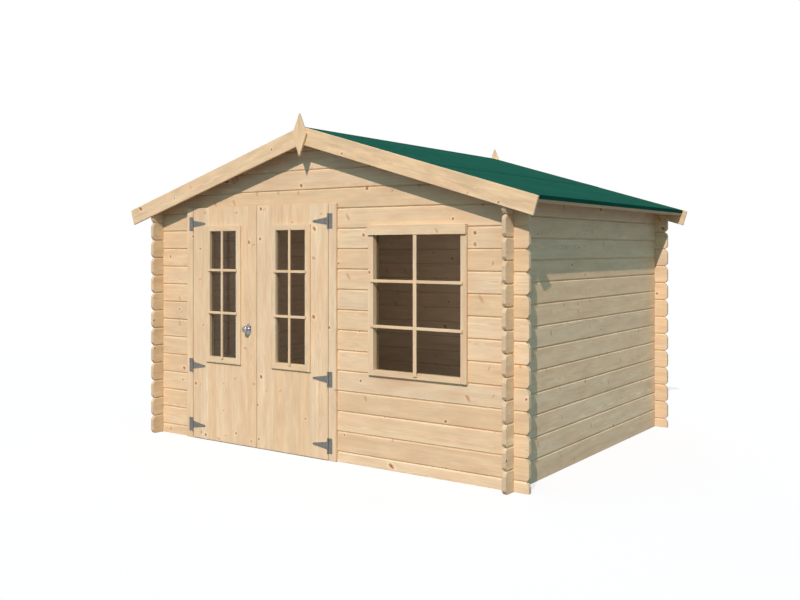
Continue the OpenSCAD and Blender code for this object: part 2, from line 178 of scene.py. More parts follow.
# A copy of a frame node with merged vertices, so that its edges can be softened
def mergedCopy(node):
    piece = bpy.data.objects.new(camel(node), frame["nodes"][node].data.copy())
    bpy.context.collection.objects.link(piece)
    pick(piece, "VERT", lambda v: True)
    bpy.ops.mesh.customdata_custom_splitnormals_clear()
    bpy.ops.mesh.remove_doubles(threshold=mergeLook["doubles"])
    bpy.ops.mesh.dissolve_limited(angle_limit=math.radians(mergeLook["flatAngle"]))
    leaveEdit()
    for polygon in piece.data.polygons:
        polygon.use_smooth = False
    return piece


# Each loose board gets its own grain coordinates: along, across and through it, and a shade
grainLook = {"jump": 15.0, "seed": 11}
grainDraw = random.Random(grainLook["seed"])


def looseParts(mesh):
    unseen = set(mesh.verts)
    parts = []
    for start in mesh.verts:
        if start not in unseen:
            continue
        unseen.discard(start)
        stack = [start]
        part = []
        while stack:
            vert = stack.pop()
            part.append(vert)
            for edge in vert.link_edges:
                other = edge.other_vert(vert)
                if other in unseen:
                    unseen.discard(other)
                    stack.append(other)
        parts.append(part)
    return parts


# The longest side of a board is taken as its length; pitch lays a sloping board level first
def markGrain(piece, pitch=0.0):
    mesh = bmesh.new()
    mesh.from_mesh(piece.data)
    grain = mesh.verts.layers.float_vector.new("grain")
    shade = mesh.verts.layers.float.new("shade")
    ends = mesh.faces.layers.float.new("endGrain")
    for part in looseParts(mesh):
        middle = sum((v.co for v in part), Vector()) / len(part)
        turn = Matrix.Rotation(-math.copysign(pitch, middle.x), 3, "Y")
        local = [turn @ v.co for v in part]
        low = [min(p[i] for p in local) for i in range(3)]
        high = [max(p[i] for p in local) for i in range(3)]
        order = sorted(range(3), key=lambda i: low[i] - high[i])
        centre = [(low[i] + high[i]) / 2 for i in range(3)]
        start = grainDraw.uniform(-grainLook["jump"], grainLook["jump"])
        tone = grainDraw.random()
        for vert, point in zip(part, local):
            along, across, through = (point[i] - centre[i] for i in order)
            vert[grain] = Vector((along + start, across, through))
            vert[shade] = tone
        lengthwise = Vector([1.0 if i == order[0] else 0.0 for i in range(3)])
        for face in {f for v in part for f in v.link_faces}:
            face[ends] = abs((turn @ face.normal).dot(lengthwise))
    mesh.to_mesh(piece.data)
    mesh.free()
    return piece


# Colours are written as they look on a screen, and the shaders want them linear
def linear(channel):
    share = channel / 255
    if share <= 0.04045:
        return share / 12.92
    return ((share + 0.055) / 1.055) ** 2.4


def colour(red, green, blue):
    return (linear(red), linear(green), linear(blue), 1.0)


def feed(tree, socket, value):
    if isinstance(value, bpy.types.NodeSocket):
        tree.links.new(value, socket)
    else:
        socket.default_value = value


def put(tree, kind, settings=None, inputs=None):
    node = tree.nodes.new("ShaderNode" + kind)
    for name, value in (settings or {}).items():
        setattr(node, name, value)
    for name, value in (inputs or {}).items():
        feed(tree, node.inputs[name], value)
    return node


def calc(tree, operation, *values):
    node = put(tree, "Math", {"operation": operation})
    for socket, value in zip(node.inputs, values):
        feed(tree, socket, value)
    return node.outputs[0]


def times(tree, first, second):
    return calc(tree, "MULTIPLY", first, second)


def plus(tree, first, second):
    return calc(tree, "ADD", first, second)


def hypotenuse(tree, first, second):
    return calc(tree, "SQRT", plus(tree, calc(tree, "POWER", first, 2.0), calc(tree, "POWER", second, 2.0)))


def combined(tree, x, y, z):
    return put(tree, "CombineXYZ", None, {"X": x, "Y": y, "Z": z}).outputs[0]


def ranged(tree, value, low, high, toLow=0.0, toHigh=1.0, smooth=False):
    node = put(tree, "MapRange", {"clamp": True, "interpolation_type": "SMOOTHSTEP" if smooth else "LINEAR"})
    for name, number in (
        ("Value", value), ("From Min", low), ("From Max", high), ("To Min", toLow), ("To Max", toHigh),
    ):
        feed(tree, node.inputs[name], number)
    return node.outputs["Result"]


def mixed(tree, factor, first, second, kind="MIX"):
    node = put(tree, "Mix", {"data_type": "RGBA", "blend_type": kind, "clamp_factor": True})
    for index, value in ((0, factor), (6, first), (7, second)):
        feed(tree, node.inputs[index], value)
    return node.outputs[2]


def noise(tree, vector, scale, detail=2.0, roughness=0.5):
    return put(tree, "TexNoise", None, {
        "Vector": vector, "Scale": scale, "Detail": detail, "Roughness": roughness,
    }).outputs["Fac"]


# Noise that swings as far to both sides of nought
def swing(tree, pattern, force):
    return times(tree, calc(tree, "SUBTRACT", pattern, 0.5), force)


def newMaterial(name):
    material = bpy.data.materials.new(name)
    material.use_nodes = True
    material.node_tree.nodes.clear()
    return material, material.node_tree


def output(tree, shader):
    put(tree, "OutputMaterial", None, {"Surface": shader})


# A Grain pair is the scales along a board and across it. A Range pair is where a pattern starts to
# count and where it counts in full
spruceLook = {
    "early": (238, 224, 193), "late": (214, 187, 143), "warm": (231, 208, 168), "pink": (222, 192, 158),
    "endEarly": (229, 214, 181), "endLate": (180, 151, 112), "endRange": (0.5, 0.85),
    "shadeSeed": 917.0, "patternSeed": 60.0,
    "ringGap": 0.0042, "ringForce": 0.66, "ringRise": (0.15, 0.86), "ringFall": (1.0, 0.9),
    "pithDepth": (0.014, 0.06), "pithSide": (-0.05, 0.05),
    "wanderScale": 1.3, "wander": 0.05, "waverGrain": (3.0, 40.0), "waver": 0.004,
    "streakGrain": (1.1, 75.0), "streakRange": (0.35, 0.72), "streakForce": 0.46,
    "zoneGrain": (2.2, 13.0), "zoneRange": (0.42, 0.75), "zoneForce": 0.9,
    "cloudGrain": (4.5, 22.0), "cloudRange": (0.3, 0.7), "cloud": (0.91, 1.07), "boardLight": (0.93, 1.03),
    "fibreGrain": (18.0, 900.0), "fibreRange": (0.2, 0.8), "roughness": (0.5, 0.66), "shine": 0.3,
    "bump": 0.25, "bumpDepth": 0.0006, "fibreBump": 0.5, "ringBump": 0.4,
}

# Round knots are dark and ringed, and spike knots are long and tan
knotLook = {
    "knotCell": (0.21, 0.070), "knotScatter": 0.8, "knotShare": 0.2,
    "knotSmall": 0.0055, "knotLarge": 0.0125,
    "knotRound": (0.5, 0.7), "knotShort": 0.85, "knotSlim": (0.42, 0.85), "knotLean": (-0.55, 0.55),
    "knotDark": (0.58, 0.88), "knotWobbleScale": 75.0, "knotWobble": 0.009, "knotPush": 1.6,
    "coreRange": (1.2, 0.55), "rimRange": (0.35, 0.0), "glowRange": (3.6, 0.9), "heartRange": (0.2, 0.85),
    "knot": (178, 110, 52), "knotRim": (172, 112, 58), "knotHeart": (124, 70, 30),
    "spikeKnot": (196, 140, 86), "knotGlow": (249, 231, 195), "knotHalo": 0.4,
}


# Board coordinates stretched by one scale along the board and another across it
def stretched(tree, board, scales, seed=0.0):
    along, across, through = board
    lengthwise, sideways = scales
    return combined(
        tree, times(tree, along, lengthwise), times(tree, across, sideways),
        plus(tree, times(tree, through, sideways), seed),
    )


# Knots sit in cells along the board, and only some cells have one
def makeKnots(tree, look, grain, board, seed):
    cellLong, cellWide = look["knotCell"]
    along, across = board[:2]
    cells = combined(
        tree, calc(tree, "DIVIDE", along, cellLong),
        plus(tree, calc(tree, "DIVIDE", across, cellWide), seed), 0.0,
    )
    spots = put(tree, "TexVoronoi", {"voronoi_dimensions": "2D"}, {
        "Vector": cells, "Scale": 1.0, "Randomness": look["knotScatter"],
    }).outputs
    offset = put(tree, "VectorMath", {"operation": "SUBTRACT"}, {0: cells, 1: spots["Position"]})
    offset = put(tree, "SeparateXYZ", None, {"Vector": offset.outputs[0]}).outputs
    drawHas, drawSize, drawKind = put(tree, "SeparateColor", None, {"Color": spots["Color"]}).outputs
    isRound = ranged(tree, drawKind, *look["knotRound"])

    # the distance from the heart of the knot, leaning, narrowed and a little ragged
    side = times(tree, offset[1], cellWide)
    lean = ranged(tree, drawSize, 0.0, 1.0, *look["knotLean"])
    lengthwise = plus(tree, times(tree, offset[0], cellLong * look["knotShort"]), times(tree, side, lean))
    sideways = times(tree, side, ranged(tree, isRound, 0.0, 1.0, *look["knotSlim"]))
    wobble = swing(tree, noise(tree, grain, look["knotWobbleScale"], 3.0), look["knotWobble"])
    distance = plus(tree, hypotenuse(tree, lengthwise, sideways), wobble)
    size = ranged(tree, calc(tree, "POWER", drawSize, 2.0), 0.0, 1.0, look["knotSmall"], look["knotLarge"])
    ratio = calc(tree, "DIVIDE", distance, size)

    has = calc(tree, "LESS_THAN", drawHas, look["knotShare"])
    fromRim = calc(tree, "ABSOLUTE", calc(tree, "SUBTRACT", ratio, 1.0))
    return {
        "core": times(tree, has, ranged(tree, ratio, *look["coreRange"], smooth=True)),
        "rim": times(tree, has, ranged(tree, fromRim, *look["rimRange"], smooth=True)),
        "glow": times(tree, has, ranged(tree, ratio, *look["glowRange"], smooth=True)),
        "dark": ranged(tree, isRound, 0.0, 1.0, *look["knotDark"]),
        "isRound": isRound, "ratio": ratio, "size": size,
    }


# Growth rings round a pith behind the board, pushed aside by the knots
def makeRings(tree, look, board, seed, drawDepth, drawSide, knots):
    along, across, through = board
    pithDepth = ranged(tree, drawDepth, 0.0, 1.0, *look["pithDepth"])
    pithSide = ranged(tree, drawSide, 0.0, 1.0, *look["pithSide"])
    slow = combined(tree, times(tree, along, look["wanderScale"]), seed, 0.0)
    wander = swing(tree, noise(tree, slow, 1.0), look["wander"])
    ringX = plus(tree, plus(tree, across, pithSide), wander)
    ringY = plus(tree, plus(tree, through, pithDepth), wander)
    radius = hypotenuse(tree, ringX, ringY)
    nearKnot = times(tree, knots["glow"], knots["glow"])
    push = times(tree, nearKnot, times(tree, knots["size"], look["knotPush"]))
    fine = stretched(tree, board, look["waverGrain"], seed)
    waver = swing(tree, noise(tree, fine, 1.0), look["waver"])
    radius = plus(tree, plus(tree, radius, push), waver)
    phase = calc(tree, "FRACT", calc(tree, "DIVIDE", radius, look["ringGap"]))
    rise = ranged(tree, phase, *look["ringRise"], smooth=True)
    return times(tree, rise, ranged(tree, phase, *look["ringFall"], smooth=True))


def paintKnots(tree, look, body, knots, face):
    isRound = knots["isRound"]
    halo = times(tree, times(tree, knots["glow"], look["knotHalo"]), times(tree, face, isRound))
    body = mixed(tree, halo, body, colour(*look["knotGlow"]))
    shown = times(tree, knots["dark"], face)
    inner = ranged(tree, knots["ratio"], *look["heartRange"])
    heart = mixed(tree, inner, colour(*look["knotHeart"]), colour(*look["knot"]))
    heart = mixed(tree, isRound, colour(*look["spikeKnot"]), heart)
    body = mixed(tree, times(tree, knots["core"], shown), body, heart)
    rim = times(tree, times(tree, knots["rim"], shown), isRound)
    return mixed(tree, rim, body, colour(*look["knotRim"]))


def makeSpruce(name, **changes):
    look = {**spruceLook, **knotLook, **changes}
    material, tree = newMaterial(name)
    grain = put(tree, "Attribute", {"attribute_name": "grain"}).outputs["Vector"]
    shade = put(tree, "Attribute", {"attribute_name": "shade"}).outputs["Fac"]
    ends = put(tree, "Attribute", {"attribute_name": "endGrain"}).outputs["Fac"]
    board = put(tree, "SeparateXYZ", None, {"Vector": grain}).outputs
    boardSeed = times(tree, shade, look["shadeSeed"])
    draws = put(tree, "TexWhiteNoise", {"noise_dimensions": "1D"}, {"W": boardSeed}).outputs["Color"]
    drawA, drawB, drawC = put(tree, "SeparateColor", None, {"Color": draws}).outputs
    seed = times(tree, shade, look["patternSeed"])
    knots = makeKnots(tree, look, grain, board, seed)
    lateWood = makeRings(tree, look, board, seed, drawA, drawB, knots)

    # rings, soft streaks and warmer zones on the faces, plain rings on the ends
    streaks = noise(tree, stretched(tree, board, look["streakGrain"], seed), 1.0, 3.0, 0.6)
    streak = times(tree, ranged(tree, streaks, *look["streakRange"]), look["streakForce"])
    zones = noise(tree, stretched(tree, board, look["zoneGrain"], seed), 1.0)
    zone = times(tree, ranged(tree, zones, *look["zoneRange"]), look["zoneForce"])
    body = mixed(tree, drawC, colour(*look["early"]), colour(*look["warm"]))
    body = mixed(tree, zone, body, colour(*look["pink"]))
    body = mixed(tree, times(tree, lateWood, look["ringForce"]), body, colour(*look["late"]))
    body = mixed(tree, streak, body, colour(*look["late"]))
    endBody = mixed(tree, lateWood, colour(*look["endEarly"]), colour(*look["endLate"]))
    atEnd = ranged(tree, ends, *look["endRange"])
    body = mixed(tree, atEnd, body, endBody)
    body = paintKnots(tree, look, body, knots, calc(tree, "SUBTRACT", 1.0, atEnd))

    # a shade for each board, with slight clouds; the roof boards and battens set it low as painted shade
    clouds = noise(tree, stretched(tree, board, look["cloudGrain"], seed), 1.0, 3.0, 0.6)
    cloud = ranged(tree, clouds, *look["cloudRange"], *look["cloud"])
    light = times(tree, ranged(tree, drawA, 0.0, 1.0, *look["boardLight"]), cloud)
    grey = put(tree, "CombineColor", None, {"Red": light, "Green": light, "Blue": light}).outputs[0]
    body = mixed(tree, 1.0, body, grey, "MULTIPLY")

    # fibres
    fibre = noise(tree, stretched(tree, board, look["fibreGrain"]), 1.0)
    height = plus(tree, times(tree, fibre, look["fibreBump"]), times(tree, lateWood, look["ringBump"]))
    height = plus(tree, height, knots["core"])
    bump = put(tree, "Bump", None, {
        "Strength": look["bump"], "Distance": look["bumpDepth"], "Height": height,
    })
    shader = put(tree, "BsdfPrincipled", None, {
        "Base Color": body, "Roughness": ranged(tree, fibre, *look["fibreRange"], *look["roughness"]),
        "Normal": bump.outputs[0], "Specular IOR Level": look["shine"],
    })
    output(tree, shader.outputs[0])
    return material


feltLook = {
    "ground": (14, 83, 67), "light": (32, 104, 86), "dark": (6, 56, 45),
    "granuleScale": 900.0, "lightRange": (0.55, 0.75), "darkRange": (0.45, 0.25),
    "bandScale": (9.0, 0.8, 9.0), "bandRange": (0.35, 0.7), "bandForce": 0.3,
    "patchScale": 5.0, "patchRange": (0.45, 0.75), "patchForce": 0.18,
    "roughRange": (0.3, 0.7), "roughness": (0.8, 0.95), "shine": 0.02, "bump": 0.5, "bumpDepth": 0.0012,
}


def makeFelt(name):
    look = feltLook
    material, tree = newMaterial(name)
    place = put(tree, "TexCoord").outputs["Object"]
    granules = noise(tree, place, look["granuleScale"], 2.0, 0.7)
    rolled = put(tree, "Mapping", None, {"Vector": place, "Scale": look["bandScale"]}).outputs[0]
    bands = ranged(tree, noise(tree, rolled, 1.0, 3.0, 0.6), *look["bandRange"])
    patches = ranged(tree, noise(tree, place, look["patchScale"], 3.0), *look["patchRange"])
    lightGranules = ranged(tree, granules, *look["lightRange"])
    body = mixed(tree, lightGranules, colour(*look["ground"]), colour(*look["light"]))
    body = mixed(tree, ranged(tree, granules, *look["darkRange"]), body, colour(*look["dark"]))
    body = mixed(tree, times(tree, bands, look["bandForce"]), body, colour(*look["dark"]))
    body = mixed(tree, times(tree, patches, look["patchForce"]), body, colour(*look["light"]))
    bump = put(tree, "Bump", None, {
        "Strength": look["bump"], "Distance": look["bumpDepth"], "Height": granules,
    })
    shader = put(tree, "BsdfPrincipled", None, {
        "Base Color": body, "Roughness": ranged(tree, granules, *look["roughRange"], *look["roughness"]),
        "Normal": bump.outputs[0], "Specular IOR Level": look["shine"],
    })
    output(tree, shader.outputs[0])
    return material


zincLook = {
    "base": (144, 143, 138), "flake": (105, 106, 105), "flakeScale": 240.0,
    "cloudScale": 60.0, "cloudRange": (0.4, 0.8), "cloudForce": (0.0, 0.4),
    "roughness": (0.34, 0.55), "metallic": 0.85,
}


def makeZinc(name):
    look = zincLook
    material, tree = newMaterial(name)
    place = put(tree, "TexCoord").outputs["Object"]
    flakes = put(tree, "TexVoronoi", None, {"Vector": place, "Scale": look["flakeScale"]})
    tone = put(tree, "SeparateColor", None, {"Color": flakes.outputs["Color"]}).outputs[0]
    clouds = noise(tree, place, look["cloudScale"], 3.0)
    clouds = ranged(tree, clouds, *look["cloudRange"], *look["cloudForce"])
    body = mixed(tree, tone, colour(*look["base"]), colour(*look["flake"]))
    body = mixed(tree, clouds, body, colour(*look["flake"]))
    shader = put(tree, "BsdfPrincipled", None, {
        "Base Color": body, "Roughness": ranged(tree, tone, 0.0, 1.0, *look["roughness"]),
        "Metallic": look["metallic"],
    })
    output(tree, shader.outputs[0])
    return material


knobLook = {
    "base": (164, 167, 172), "dull": (126, 129, 134), "brushScale": (60.0, 900.0, 60.0),
    "dullRange": (0.4, 0.7), "roughRange": (0.3, 0.7), "roughness": (0.14, 0.3), "metallic": 1.0,
}


def makeKnobMetal(name):
    look = knobLook
    material, tree = newMaterial(name)
    place = put(tree, "TexCoord").outputs["Object"]
    brushed = put(tree, "Mapping", None, {"Vector": place, "Scale": look["brushScale"]}).outputs[0]
    marks = noise(tree, brushed, 1.0, 3.0)
    body = mixed(tree, ranged(tree, marks, *look["dullRange"]), colour(*look["base"]), colour(*look["dull"]))
    shader = put(tree, "BsdfPrincipled", None, {
        "Base Color": body, "Roughness": ranged(tree, marks, *look["roughRange"], *look["roughness"]),
        "Metallic": look["metallic"],
    })
    output(tree, shader.outputs[0])
    return material


glassLook = {
    "tint": (222, 224, 220), "mirror": 0.06, "bend": 1.45,
    "smearScale": 14.0, "smearRange": (0.4, 0.8), "roughness": (0.01, 0.05),
}


def makeGlass(name):
    look = glassLook
    material, tree = newMaterial(name)
    place = put(tree, "TexCoord").outputs["Object"]
    smears = noise(tree, place, look["smearScale"], 3.0)
    clear = put(tree, "BsdfTransparent", None, {"Color": colour(*look["tint"])})
    mirror = put(tree, "BsdfGlossy", None, {
        "Color": (1, 1, 1, 1), "Roughness": ranged(tree, smears, *look["smearRange"], *look["roughness"]),
    })
    share = times(tree, put(tree, "Fresnel", None, {"IOR": look["bend"]}).outputs[0], look["mirror"])
    shader = put(tree, "MixShader", None, {0: share, 1: clear.outputs[0], 2: mirror.outputs[0]})
    output(tree, shader.outputs[0])
    return material


logSpruce = makeSpruce("planedLogSpruce")
trimSpruce = makeSpruce("planedTrimSpruce", knotShare=0.1, knotLarge=0.008)
doorSpruce = makeSpruce("doorBoardSpruce", knotShare=0.26, boardLight=(0.97, 1.02))
bargeSpruce = makeSpruce(
    "bargeBoardSpruce", knotShare=0.24, ringForce=0.95, zoneForce=1.0,
    cloud=(0.86, 1.13), boardLight=(0.99, 1.05),
)
# Roof boards and purlins: the same spruce set darker, with darker end grain, as painted shade for the shaded
# roof underside
roofSpruceWithPaintedShade = makeSpruce(
    "roofBoardSpruceWithPaintedShade", boardLight=(0.7, 0.8), endEarly=(186, 170, 138), endLate=(150, 128, 96),
)
# Eave battens: darker, warmer spruce as painted shade for the shaded strip under the felt edge
battenSpruceWithPaintedShade = makeSpruce(
    "battenSpruceWithPaintedShade", boardLight=(0.6, 0.68),
    early=(234, 206, 158), warm=(228, 198, 148), pink=(220, 184, 142),
)
greenFelt = makeFelt("greenMineralFelt")
zinc = makeZinc("galvanisedSteel")
knobMetal = makeKnobMetal("polishedKnobMetal")
clearGlass = makeGlass("clearWindowGlass")
print("materials made")


# How far the edges of each kind of board are rounded off, and the slope of the roof in degrees
edgeLook = {
    "logs": 0.0012, "frame": 0.002, "leafTrim": 0.0015, "windowFrame": 0.001, "purlins": 0.002,
    "battens": 0.0015, "bargeBoards": 0.003, "finials": 0.0025,
}
roofPitch = math.radians(16.58)
softened = [
    # edge, body, slot, material, pitch, nodes
    ("logs", "root", "log_spruce", logSpruce, 0.0, (
        "left_wall", "right_wall", "rear_wall", "rear_gable", "front_wall_left", "front_wall_pier",
        "front_wall_right", "front_wall_under_window", "front_wall_over_window", "front_gable",
    )),
    ("frame", "root", "trim_spruce", trimSpruce, 0.0, (
        "door_jamb_left", "door_jamb_right", "door_head", "door_threshold",
    )),
    ("frame", "left_door", "trim_spruce", trimSpruce, 0.0, ("left_door_ledges",)),
    ("frame", "right_door", "trim_spruce", trimSpruce, 0.0, ("right_door_ledges",)),
    ("leafTrim", "left_door", "trim_spruce", trimSpruce, 0.0, ("left_door_trim",)),
    ("leafTrim", "right_door", "trim_spruce", trimSpruce, 0.0, ("right_door_trim",)),
    ("windowFrame", "root", "trim_spruce", trimSpruce, 0.0, ("window_frame",)),
    ("frame", "root", "trim_spruce", trimSpruce, 0.0, ("window_trim",)),
    ("purlins", "root", "roof_spruce", roofSpruceWithPaintedShade, 0.0, ("ridge_purlin", "left_purlin", "right_purlin")),
    ("battens", "root", "roof_spruce", battenSpruceWithPaintedShade, roofPitch, ("eave_batten_left", "eave_batten_right")),
    ("bargeBoards", "root", "barge_spruce", bargeSpruce, roofPitch, (
        "front_barge_boards", "rear_barge_boards",
    )),
    ("finials", "root", "barge_spruce", bargeSpruce, 0.0, ("front_finial", "rear_finial")),
]
for edge, body, slot, material, pitch, nodes in softened:
    for node in nodes:
        piece = mergedCopy(node)
        softEdges(piece, edgeLook[edge])
        markGrain(piece, pitch)
        finished(piece, body, material, [node])
print("logs, frames and trim softened")


# Door leaves of upright boards, cut out for the glass
leafLook = {"boards": 8, "joint": 0.0004, "vEdge": 0.0022, "glassRoom": 0.001, "cutDepth": 0.1}


def boardedLeaf(side):
    low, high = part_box(f"{side}_door_leaf")
    glassLow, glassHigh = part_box(f"{side}_door_glass")
    pitch = (high.x - low.x + leafLook["joint"]) / leafLook["boards"]
    boards = block(f"{side}DoorBoards", low, (low.x + pitch - leafLook["joint"], high.y, high.z))
    bevelAlong(boards, 2, leafLook["vEdge"])
    repeated(boards, leafLook["boards"], (pitch, 0, 0))
    room = Vector((leafLook["glassRoom"], leafLook["cutDepth"], leafLook["glassRoom"]))
    cutAway(boards, glassLow - room, glassHigh + room)
    markGrain(boards)
    return finished(boards, f"{side}_door", doorSpruce, [f"{side}_door_leaf"])


for side in ("left", "right"):
    boardedLeaf(side)
print("door leaves boarded")


barLook = {"thick": 0.010, "edge": 0.0015, "seat": 0.0003, "lap": 0.0002, "glassEdge": 0.007}
doorBars = {"upright": 0.019, "level": 0.019, "past": 0.013, "rows": (0.987, 1.310)}
windowBars = {"upright": 0.026, "level": 0.020, "past": 0.018, "rows": (0.955, 1.258), "trimThick": 0.020}


# One upright bar and level bars that butt against it, laid on the front face of the trim
def glazingBars(name, glassNode, face, look):
    low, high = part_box(glassNode)
    edge = Vector((barLook["glassEdge"], 0, barLook["glassEdge"]))
    low, high = low + edge, high - edge
    middle = (low.x + high.x) / 2
    half = look["upright"] / 2
    past = look["past"]
    y0 = face - barLook["thick"]
    y1 = face - barLook["seat"]
    bars = [block("bar", (middle - half, y0, low.z - past), (middle + half, y1, high.z + past))]
    for z in look["rows"]:
        for x0, x1 in (
            (low.x - past, middle - half - barLook["lap"]), (middle + half + barLook["lap"], high.x + past),
        ):
            bars.append(block("bar", (x0, y0, z - look["level"] / 2), (x1, y1, z + look["level"] / 2)))
    bars = joined(name, bars)
    softEdges(bars, barLook["edge"])
    return markGrain(bars)


for side in ("left", "right"):
    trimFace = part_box(f"{side}_door_trim")[0].y
    bars = glazingBars(f"{side}DoorBars", f"{side}_door_glass", trimFace, doorBars)
    finished(bars, f"{side}_door", trimSpruce)
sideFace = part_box("window_frame")[0].y - windowBars["trimThick"]
bars = glazingBars("windowBars", "window_glass", sideFace, windowBars)
finished(bars, "root", trimSpruce)
print("glazing bars laid on")


# Roof boards and felt are drawn flat, with the ridge at x = 0, and laid on the slopes
roofLook = {"boards": 28, "joint": 0.0004, "vEdge": 0.0025, "thick": 0.022, "run": 1.8603, "gap": 0.0003}
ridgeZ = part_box("ridge_purlin")[1].z + roofLook["gap"]
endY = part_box("roof_boards_right")[1].y


def layOnSlope(piece, side):
    turn = Matrix.Rotation(side * roofPitch, 4, "Y")
    piece.data.transform(Matrix.Translation((0, 0, ridgeZ)) @ turn)
    piece.data.update()
    return piece


def roofBoards(name, side, node):
    pitch = (2 * endY + roofLook["joint"]) / roofLook["boards"]
    x0, x1 = sorted((side * roofLook["gap"], side * roofLook["run"]))
    boards = block(name, (x0, -endY, 0), (x1, -endY + pitch - roofLook["joint"], roofLook["thick"]))
    bevelAlong(boards, 0, roofLook["vEdge"])
    repeated(boards, roofLook["boards"], (0, pitch, 0))
    layOnSlope(boards, side)
    markGrain(boards, roofPitch)
    return finished(boards, "root", roofSpruceWithPaintedShade, [node])


roofBoards("roofBoardsLeft", -1, "roof_boards_left")
roofBoards("roofBoardsRight", 1, "roof_boards_right")

# One sheet down each side and a third over the ridge, which laps both
sheetLook = {
    "thick": 0.0015, "lift": 0.003, "cells": (18, 44), "wave": 0.0006, "waveSize": 0.45,
    "short": 0.0004, "past": 0.0006, "edgeDrop": 0.023, "edgeNear": 0.0005,
    "lapAt": 1.09, "lapOver": 0.1, "lapRamp": 0.06, "lapLift": 1.1,
    "ridgeZone": 0.02, "ridgeLift": 0.0005, "weld": 0.0004,
}
sheetZ = roofLook["thick"] + sheetLook["lift"]
lapFrom = sheetLook["lapAt"] - sheetLook["lapOver"]
swell = bpy.data.textures.new("feltSwell", "CLOUDS")
swell.noise_scale = sheetLook["waveSize"]
swell.noise_depth = 1


# A slightly waved felt sheet from u0 to u1 down the slope, its lower edge turned down by drop
def feltSheet(name, side, u0, u1, drop=0.0):
    deselectAll()
    bpy.ops.mesh.primitive_grid_add(
        x_subdivisions=sheetLook["cells"][0], y_subdivisions=sheetLook["cells"][1], size=1,
        location=(side * (u0 + u1) / 2, 0, sheetZ),
    )
    sheet = bpy.context.object
    sheet.name = name
    sheet.scale = (u1 - u0, 2 * endY - sheetLook["short"], 1)
    applyPlace(sheet)
    applyModifier(sheet, "DISPLACE", texture=swell, strength=sheetLook["wave"], mid_level=0.0, direction="Z")
    if drop:
        pick(sheet, "EDGE", lambda e: all(abs(abs(v.co.x) - u1) < sheetLook["edgeNear"] for v in e.verts))
        bpy.ops.mesh.extrude_region_move(TRANSFORM_OT_translate={"value": (0, 0, -drop)})
        leaveEdit()
    return sheet


def solidFelt(sheet):
    applyModifier(sheet, "SOLIDIFY", thickness=sheetLook["thick"], offset=1.0, use_even_offset=True)
    return sheet


for side, word in ((-1, "Left"), (1, "Right")):
    eave = roofLook["run"] + sheetLook["past"]
    lower = feltSheet(f"felt{word}", side, lapFrom, eave, sheetLook["edgeDrop"])
    layOnSlope(solidFelt(lower), side)
    finished(lower, "root", greenFelt, [f"roof_felt_{word.lower()}"])

halves = []
for side in (-1, 1):
    half = feltSheet("feltTopHalf", side, 0.0, sheetLook["lapAt"])
    for vert in half.data.vertices:
        rise = min(1.0, max(0.0, (abs(vert.co.x) - lapFrom + sheetLook["lapRamp"]) / sheetLook["lapRamp"]))
        vert.co.z += sheetLook["thick"] * sheetLook["lapLift"] * rise
    halves.append(layOnSlope(half, side))
top = joined("feltTop", halves)
for vert in top.data.vertices:
    if abs(vert.co.x) < sheetLook["ridgeZone"]:
        vert.co.x = 0.0
        vert.co.z = ridgeZ + sheetZ / math.cos(roofPitch) + sheetLook["ridgeLift"]
pick(top, "VERT", lambda v: True)
bpy.ops.mesh.remove_doubles(threshold=sheetLook["weld"])
leaveEdit()
solidFelt(top)
finished(top, "root", greenFelt)
print("roof boarded and felted")


hingeLook = {"edge": 0.0005, "sharpAngle": 50}
for node, body in (
    ("left_hinge_plates", "root"), ("right_hinge_plates", "root"),
    ("left_hinge_straps", "left_door"), ("right_hinge_straps", "right_door"),
):
    piece = mergedCopy(node)
    softEdges(piece, hingeLook["edge"], 1, hingeLook["sharpAngle"])
    finished(piece, body, zinc, [node])

# Screws lie at these places from the pin, plates towards the jamb and straps towards the leaf
screwLook = {
    "radius": 0.0042, "height": 0.0014, "sides": 16, "round": 0.6,
    "slot": 0.0009, "slotReach": 0.62, "slotFloor": 0.1, "slotFront": 0.01,
    "face": 0.0065, "proud": 0.0002, "hingeHalf": 0.053, "middleHinge": 0.566, "seed": 5,
    "plate": ((0.020, 0.040), (0.029, 0.014), (0.020, -0.014), (0.029, -0.040)),
    "strap": ((-0.028, 0.012), (-0.028, -0.012), (-0.072, 0.0), (-0.118, 0.0)),
}


def screwHead():
    deselectAll()
    bpy.ops.mesh.primitive_cylinder_add(
        vertices=screwLook["sides"], radius=screwLook["radius"], depth=screwLook["height"],
        rotation=(math.pi / 2, 0, 0),
    )
    head = bpy.context.object
    applyPlace(head)
    pick(head, "EDGE", lambda e: all(v.co.y < 0 for v in e.verts))
    bpy.ops.mesh.bevel(offset=screwLook["height"] * screwLook["round"], segments=2)
    leaveEdit()
    reach = screwLook["radius"] * screwLook["slotReach"]
    half = screwLook["slot"] / 2
    depth = screwLook["height"] * screwLook["slotFloor"]
    for x, z in ((reach, half), (half, reach)):
        cutAway(head, (-x, -screwLook["slotFront"], -z), (x, -depth, z))
    return head


head = screwHead()
screwDraw = random.Random(screwLook["seed"])
for side, direction in (("left", -1), ("right", 1)):
    joint = next(j for j in frame["joints"] if j["child"] == f"{side}_door")
    pinX = joint["pos_m"][0]
    plateLow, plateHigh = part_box(f"{side}_hinge_plates")
    faceY = plateLow.y + screwLook["face"] - screwLook["height"] / 2 + screwLook["proud"]
    half = screwLook["hingeHalf"]
    heights = (plateLow.z + half, screwLook["middleHinge"], plateHigh.z - half)
    for kind, body in (("plate", "root"), ("strap", f"{side}_door")):
        heads = []
        for z in heights:
            for dx, dz in screwLook[kind]:
                turn = Matrix.Rotation(screwDraw.uniform(0, math.pi), 4, "Y")
                place = Matrix.Translation((pinX + direction * dx, faceY, z + dz))
                heads.append(copied(head, "screw", place @ turn))
        screws = joined(f"{side}Hinge{kind.capitalize()}Screws", heads)
        finished(screws, body, zinc)
bpy.data.objects.remove(head)

